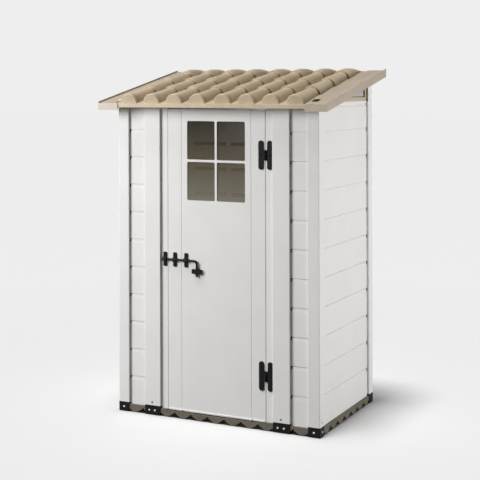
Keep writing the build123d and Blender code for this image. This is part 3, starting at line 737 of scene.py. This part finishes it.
class SHED_OT_seals(bpy.types.Operator):
    """Set the seals in the channels, at the door's free edge and round the gable panes; the dark front strips
    in the channels are painted shade for the channels' gaps
    """
    bl_idname = "shed.seals"
    bl_label = "Seals"

    foot = 0.052
    reach = 0.011  # how far a seal goes into its channel
    lip = 0.0045  # thickness of the posts' lips
    tuck = 0.001  # how far a seal goes behind the planks' face

    def channels(self, near, far):
        """Strips inside the front channels, between two depths; the front ones, in a dark finish, are painted
        shade for the gaps beside the posts.
        """
        edge_gap = 0.0004
        top_gap = 0.02
        bm = bmesh.new()
        for side, sx in sides:
            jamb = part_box(f"jamb_post_{side}")
            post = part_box(f"corner_post_front_{side}")
            edges = [(jamb[0].x, 1), (jamb[1].x, -1), (post[1].x, -1) if sx < 0 else (post[0].x, 1)]
            for edge, way in edges:
                x = sorted((edge + way * edge_gap, edge + way * self.reach))
                slab(bm, (x[0], near, self.foot), (x[1], far, jamb[1].z - top_gap))
        return bm

    def pale(self, bm):
        """White seals at the side walls' back ends and in the gap at the door's free edge."""
        edge_gap = 0.0015
        top_gap = 0.002
        door_gap = (0.0001, 0.0024)
        door_depth = (0.0025, 0.008)
        for side, sx in sides:
            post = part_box(f"corner_post_back_{side}")
            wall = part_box(f"side_wall_{side}")
            face = post[1].x if sx > 0 else post[0].x
            plank = wall[1].x if sx > 0 else wall[0].x
            x = sorted((face - sx * self.lip, plank - sx * self.tuck))
            slab(bm, (x[0], post[0].y + edge_gap, self.foot),
                 (x[1], post[0].y + self.reach, wall[1].z - top_gap))
        low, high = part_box("door_stile_left")
        slab(bm, (low.x - door_gap[1], low.y + door_depth[0], low.z),
             (low.x - door_gap[0], low.y + door_depth[1], high.z))
        return bm

    def gable(self, side, sx):
        """A sloped bead round a gable pane, just inside its frame."""
        pane = nodes[f"gable_pane_{side}"]
        spots = [pane.matrix_world @ vertex.co for vertex in pane.data.vertices]
        corners = list({(round(spot.y, 5), round(spot.z, 5)) for spot in spots})
        middle = sum((Vector(corner) for corner in corners), Vector((0, 0))) / len(corners)
        corners.sort(key=lambda corner: atan2(corner[1] - middle.y, corner[0] - middle.x))
        low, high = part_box(f"gable_pane_{side}")
        face = high.x if sx > 0 else low.x
        outer = inset(corners, 0.0045)
        inner = inset(corners, 0.0085)
        outer_face = face + sx * 0.004
        inner_face = face + sx * 0.003
        bm = bmesh.new()
        loops = [[bm.verts.new((x, point[0], point[1])) for point in loop]
                 for loop, x in ((outer, face), (outer, outer_face), (inner, inner_face), (inner, face))]
        for i, near in enumerate(loops):
            bridge(bm, near, loops[(i + 1) % len(loops)], closed=True)
        return bm

    def execute(self, context):
        near = post_face_y + self.lip
        far = plank_face_y + self.tuck
        middle = near + (far - near) * 0.5
        behind = middle + 0.0001
        # The front half of the channel strips is painted shade for the gaps' shadow; the rear half stays
        # white.
        add_piece("channel_shade_strips", self.channels(near, middle), "shed", "black_plastic", finish_of("channel_shade"))
        add_piece("pale_seals", self.pale(self.channels(behind, far)), "shed", "white_plastic")
        for side, sx in sides:
            add_piece(f"gable_seal_{side}", self.gable(side, sx), "shed", "black_plastic")
        return {"FINISHED"}


class SHED_OT_ribs(bpy.types.Operator):
    """Build the ribs under the floor tiles"""
    bl_idname = "shed.ribs"
    bl_label = "Floor ribs"

    def execute(self, context):
        ribs = 5
        foot = 0.002
        top = 0.0265
        half = 0.0015
        edge = 0.017
        first = 0.075
        for row in ("front", "back"):
            for column in ("left", "middle", "right"):
                name = f"floor_tile_{row}_{column}"
                low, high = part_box(name)
                bm = bmesh.new()
                for step in range(ribs):
                    share = step / (ribs - 1)
                    x = low.x + first + (high.x - low.x - 2 * first) * share
                    y = low.y + first + (high.y - low.y - 2 * first) * share
                    slab(bm, (x - half, low.y + edge, foot), (x + half, high.y - edge, top))
                    slab(bm, (low.x + edge, y - half, foot), (high.x - edge, y + half, top))
                add_piece(f"ribs_{name}", bm, "shed", "taupe_plastic")
        return {"FINISHED"}


class SHED_OT_trims(bpy.types.Operator):
    """Build the door sweep, the dark plate and screw on the roof's margins and the back wall's joint covers"""
    bl_idname = "shed.trims"
    bl_label = "Small trims"

    margin_x = 0.594  # middle of the roof's plain margins

    def sweep(self):
        """A thin strip along the door's foot, with a plug over each seam between its boards."""
        end_gap = 0.004
        plug_depth = 0.003
        plug_height = 0.0075
        rounding = 0.0008
        profile = ((0.003, 0.0005), (-0.0018, 0.0005), (-0.003, 0.0095), (-0.0005, 0.0110), (0.003, 0.0110))
        plug = ((0, -0.002), (0.006, -0.002), (0.006, 0.003), (0.0045, 0.0045), (0, 0.005))
        low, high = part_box("door_panel")
        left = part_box("door_stile_left")[0].x
        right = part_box("door_stile_right")[1].x
        bm = bmesh.new()
        outline = [(left + end_gap, low.y + y, low.z + z) for y, z in profile]
        prism(bm, outline, (right - left - 2 * end_gap, 0, 0))
        for seam in (low.x, high.x):
            lathe(bm, plug, (seam, low.y - plug_depth, low.z + plug_height), (0, -1, 0))
        soften(add_piece("door_sweep", bm, "door", "white_plastic"), rounding)

    def margins(self, roof):
        """A dark plate on the right margin and a pale screw on the left, laid along the slope."""
        plate_run, plate_rise, plate_thickness = 0.088, 0.003, 0.004
        screw_run, screw_rise, screw_radius = 0.085, 0.004, 0.006
        plate = ((-0.016, -0.020), (-0.012, -0.024), (0.012, -0.024), (0.016, -0.020),
                 (0.016, 0.020), (0.012, 0.024), (-0.012, 0.024), (-0.016, 0.020))
        along = Vector((0, cos(roof.pitch), sin(roof.pitch)))
        out = Vector((0, -sin(roof.pitch), cos(roof.pitch)))
        across = Vector((1, 0, 0))
        bm = bmesh.new()
        place = Vector((self.margin_x, roof_front_y, roof.eave_height)) + along * plate_run + out * plate_rise
        prism(bm, [place + across * x + along * y for x, y in plate], out * plate_thickness)
        add_piece("margin_dark_plate", bm, "shed", "black_plastic")
        head = bmesh.new()
        spot = Vector((-self.margin_x, roof_front_y, roof.eave_height)) + along * screw_run + out * screw_rise
        screw_head(head, spot, out, screw_radius)
        add_piece("margin_screw", head, "shed", "white_plastic")

    def joints(self, fittings):
        """Covers over the back wall's joints, which the window shows."""
        spans = ((-0.535, -0.318), (-0.283, 0.283), (0.318, 0.535))
        rise = 0.039
        half = 0.010
        proud = 0.003
        sunk = 0.001
        low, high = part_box("back_wall")
        plank = plank_height(fittings)
        bm = bmesh.new()
        z = fittings.plank_base + plank + rise
        while z < high.z - plank / 2:
            for start, stop in spans:
                slab(bm, (start, low.y - proud, z - half), (stop, low.y + sunk, z + half))
            z += plank
        add_piece("inner_joints", bm, "shed", "taupe_plastic")

    def execute(self, context):
        self.sweep()
        self.margins(context.scene.shed_roof)
        self.joints(context.scene.shed_fittings)
        return {"FINISHED"}


class SHED_OT_screws(bpy.types.Operator):
    """Set the screws in the feet, posts, hinges and bolt guides"""
    bl_idname = "shed.screws"
    bl_label = "Screws"

    front = (0, -1, 0)

    def feet(self, fittings):
        """Pale screws in the front feet, dark ones in the back feet and jambs, plated ones in the sides."""
        level = 0.023
        offset = -0.003
        half_pitch = 0.018
        jamb_level = 0.068
        side_level = 0.072
        side_inset = 0.034
        large, small = fittings.foot_screw, fittings.small_screw
        feet = bmesh.new()
        dark = bmesh.new()
        plated = bmesh.new()
        for side, sx in sides:
            outward = (sx, 0, 0)
            low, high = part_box(f"foot_jamb_{side}")
            middle = (low.x + high.x) / 2 + offset
            for way in (-1, 1):
                screw_head(feet, (middle + way * half_pitch, low.y, level), self.front, large)
            screw_head(dark, (middle, post_face_y, jamb_level), self.front, small)
            low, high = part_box(f"foot_front_{side}")
            face_x = high.x if sx > 0 else low.x
            screw_head(feet, ((low.x + high.x) / 2, low.y, level), self.front, large)
            screw_head(feet, (face_x, (low.y + high.y) / 2, level), outward, large)
            screw_head(plated, (face_x, low.y + side_inset, side_level), outward, small)
            low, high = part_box(f"foot_back_{side}")
            screw_head(dark, (face_x, (low.y + high.y) / 2, level), outward, small)
            screw_head(dark, ((low.x + high.x) / 2, high.y, level), (0, 1, 0), small)
        add_piece("foot_screws", feet, "shed", "white_plastic")
        add_piece("post_screws_front", dark, "shed", "black_plastic")
        add_piece("post_screws_side", plated, "shed", "black_plastic", finish_of("steel"))

    def hinges(self, fittings):
        bar_middle = 0.0145
        face_y = plank_face_y - 0.0045
        for body, leaf in (("shed", "hinge_frame_leaf"), ("door", "hinge_door_leaf")):
            bars = bmesh.new()
            for level in ("upper", "lower"):
                low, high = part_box(f"{leaf}_{level}")
                bar = high.x - bar_middle if body == "shed" else low.x + bar_middle
                screw_head(bars, (bar, face_y, (low.z + high.z) / 2), self.front, fittings.small_screw)
            add_piece(f"hinge_screws_{body}", bars, body, "black_plastic")

    def bolt(self, fittings):
        guide_width = 0.022
        end_inset = 0.011
        face_y = plank_face_y - 0.004
        radius = fittings.small_screw * 0.8
        for body, plate in (("shed", "bolt_keeper"), ("door", "bolt_guides")):
            low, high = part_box(plate)
            holes = bmesh.new()
            width = guide_width if body == "door" else high.x - low.x
            for x in {low.x + width / 2, high.x - width / 2}:
                for z in (low.z + end_inset, high.z - end_inset):
                    screw_head(holes, (x, face_y, z), self.front, radius)
            add_piece(f"bolt_screws_{body}", holes, body, "black_plastic")

    def execute(self, context):
        fittings = context.scene.shed_fittings
        self.feet(fittings)
        self.hinges(fittings)
        self.bolt(fittings)
        return {"FINISHED"}


# Stage
class SHED_OT_studio(bpy.types.Operator):
    """Set a pale floor, soft lights and the camera"""
    bl_idname = "shed.studio"
    bl_label = "Studio"

    def place_lamp(self, light, aim):
        lamp = bpy.data.objects.new(light.name, light)
        lamp.rotation_euler = Vector(aim).to_track_quat("-Z", "Y").to_euler()
        bpy.context.scene.collection.objects.link(lamp)
        return lamp

    def area_light(self, name, place, target, size, power):
        light = bpy.data.lights.new(name, "AREA")
        light.shape = "DISK"
        light.size = size
        light.energy = power
        lamp = self.place_lamp(light, Vector(target) - Vector(place))
        lamp.location = place
        lamp.visible_camera = False
        return lamp

    def sun_light(self, name, aim, angle, strength):
        light = bpy.data.lights.new(name, "SUN")
        light.energy = strength
        light.angle = radians(angle)
        return self.place_lamp(light, aim)

    def floor(self, tone):
        """The floor, and two collections: lights that spare it and lights on it alone."""
        reach = 60.0
        drop = 0.003
        near, far = 0.8, 4.5  # where the floor's painted shade is deepest and where it ends
        bm = bmesh.new()
        bmesh.ops.create_grid(bm, x_segments=4, y_segments=4, size=reach)
        mesh = bpy.data.meshes.new("studio_floor")
        bm.to_mesh(mesh)
        bm.free()
        material, tree, shader = new_material("studio_floor")
        place = tree.nodes.new("ShaderNodeTexCoord")
        reach_out = tree.nodes.new("ShaderNodeVectorMath")
        reach_out.operation = "LENGTH"
        tree.links.new(place.outputs["Object"], reach_out.inputs[0])
        away = value_share(tree, reach_out.outputs["Value"], near, far)
        # Painted shade: the floor is darker near the shed, holding back the light the shed throws onto it.
        tint = colour_ramp(tree, away, (
            (0.0, (tone * 0.945,) * 3), (0.4, (tone * 0.97,) * 3), (1.0, (tone,) * 3)))
        tree.links.new(tint, shader.inputs["Base Color"])
        shader.inputs["Roughness"].default_value = 0.9
        shader.inputs["Specular IOR Level"].default_value = 0.0
        mesh.materials.append(material)
        floor = bpy.data.objects.new("studio_floor", mesh)
        floor.location.z = -drop
        # Without the floor's bounce, the eave keeps its shadow
        floor.visible_diffuse = False
        bpy.context.scene.collection.objects.link(floor)
        spared = bpy.data.collections.new("lights_spare_the_floor")
        spared.objects.link(floor)
        spared.collection_objects[0].light_linking.link_state = "EXCLUDE"
        lit = bpy.data.collections.new("lights_on_the_floor")
        lit.objects.link(floor)
        return spared, lit

    def world(self, studio):
        """A dim light tent, seen by the camera as a pale backdrop."""
        world = bpy.data.worlds.new("studio_world")
        world.use_nodes = True
        tree = world.node_tree
        tent = tree.nodes["Background"]
        screen = tree.nodes.new("ShaderNodeBackground")
        for background, strength in ((tent, studio.ambient), (screen, studio.backdrop)):
            background.inputs["Color"].default_value = (1, 1, 1, 1)
            background.inputs["Strength"].default_value = strength
        rays = tree.nodes.new("ShaderNodeLightPath")
        choice = tree.nodes.new("ShaderNodeMixShader")
        tree.links.new(rays.outputs["Is Camera Ray"], choice.inputs["Fac"])
        tree.links.new(tent.outputs["Background"], choice.inputs[1])
        tree.links.new(screen.outputs["Background"], choice.inputs[2])
        tree.links.new(choice.outputs["Shader"], tree.nodes["World Output"].inputs["Surface"])
        return world

    def lights(self, studio, spared, lit):
        lamps = (
            self.area_light("key_light", place=(-3.1, -3.7, 2.8), target=(0, -0.3, 1.0), size=2.8,
                            power=studio.key),
            self.area_light("fill_light", place=(3.8, 0.2, 1.4), target=(0.6, 0, 0.9), size=1.6,
                            power=studio.fill),
            self.sun_light("side_light", aim=(0.26, 0.08, -0.96), angle=40, strength=studio.side),
            self.area_light("inside_light", place=(0, 0.1, 1.70), target=(0, 0.2, 0.5), size=0.5,
                            power=studio.inside),
            self.area_light("back_light", place=(-0.8, 5.0, 1.3), target=(0, 0.4, 0.9), size=2.5,
                            power=studio.back),
        )
        for lamp in lamps:
            lamp.light_linking.receiver_collection = spared
        sky = self.sun_light("sky_light", aim=(0.03, 0.14, -1), angle=15, strength=studio.sky)
        sky.light_linking.receiver_collection = lit

    def camera(self, studio):
        lens = bpy.data.cameras.new("photo_camera")
        lens.lens = studio.lens
        lens.sensor_width = 36
        lens.shift_y = studio.rise
        camera = bpy.data.objects.new("photo_camera", lens)
        camera.location = studio.eye
        gaze = Vector((-sin(studio.yaw), cos(studio.yaw), 0)).to_track_quat("-Z", "Y")
        camera.rotation_euler = (gaze @ Quaternion((0, 0, 1), studio.roll)).to_euler()
        bpy.context.scene.collection.objects.link(camera)
        return camera

    def execute(self, context):
        scene = context.scene
        studio = scene.shed_studio
        spared, lit = self.floor(studio.floor_tone)
        scene.world = self.world(studio)
        scene.view_settings.view_transform = "Standard"
        self.lights(studio, spared, lit)
        scene.camera = self.camera(studio)
        return {"FINISHED"}


# Panel
class SHED_PT_panel(bpy.types.Panel):
    """Sizes, colours and steps of the shed"""
    bl_idname = "SHED_PT_panel"
    bl_label = "Garden shed"
    bl_space_type = "VIEW_3D"
    bl_region_type = "UI"
    bl_category = "Shed"

    def draw(self, context):
        layout = self.layout
        for group_name in groups:
            group = getattr(context.scene, group_name)
            box = layout.box()
            for name in group.bl_rna.properties.keys():
                if name not in ("rna_type", "name"):
                    box.prop(group, name)
        for operator in operators:
            layout.operator(operator.bl_idname)


operators = (SHED_OT_finishes, SHED_OT_roof_tiles, SHED_OT_notch_shades, SHED_OT_seals, SHED_OT_ribs,
             SHED_OT_trims, SHED_OT_screws, SHED_OT_studio)
groups = {"shed_colours": ShedColours, "shed_roof": ShedRoof, "shed_fittings": ShedFittings,
          "shed_studio": ShedStudio}


def register():
    for item in (*groups.values(), *operators, SHED_PT_panel):
        bpy.utils.register_class(item)
    for name, group in groups.items():
        setattr(bpy.types.Scene, name, bpy.props.PointerProperty(type=group))


def unregister():
    for name in groups:
        delattr(bpy.types.Scene, name)
    for item in reversed((*groups.values(), *operators, SHED_PT_panel)):
        bpy.utils.unregister_class(item)


def main():
    register()
    bpy.ops.shed.finishes()
    bpy.ops.shed.roof_tiles()
    bpy.ops.shed.plank_clips()
    bpy.ops.shed.seals()
    bpy.ops.shed.ribs()
    bpy.ops.shed.trims()
    bpy.ops.shed.screws()
    bpy.ops.shed.studio()


if __name__ == "__main__":
    main()
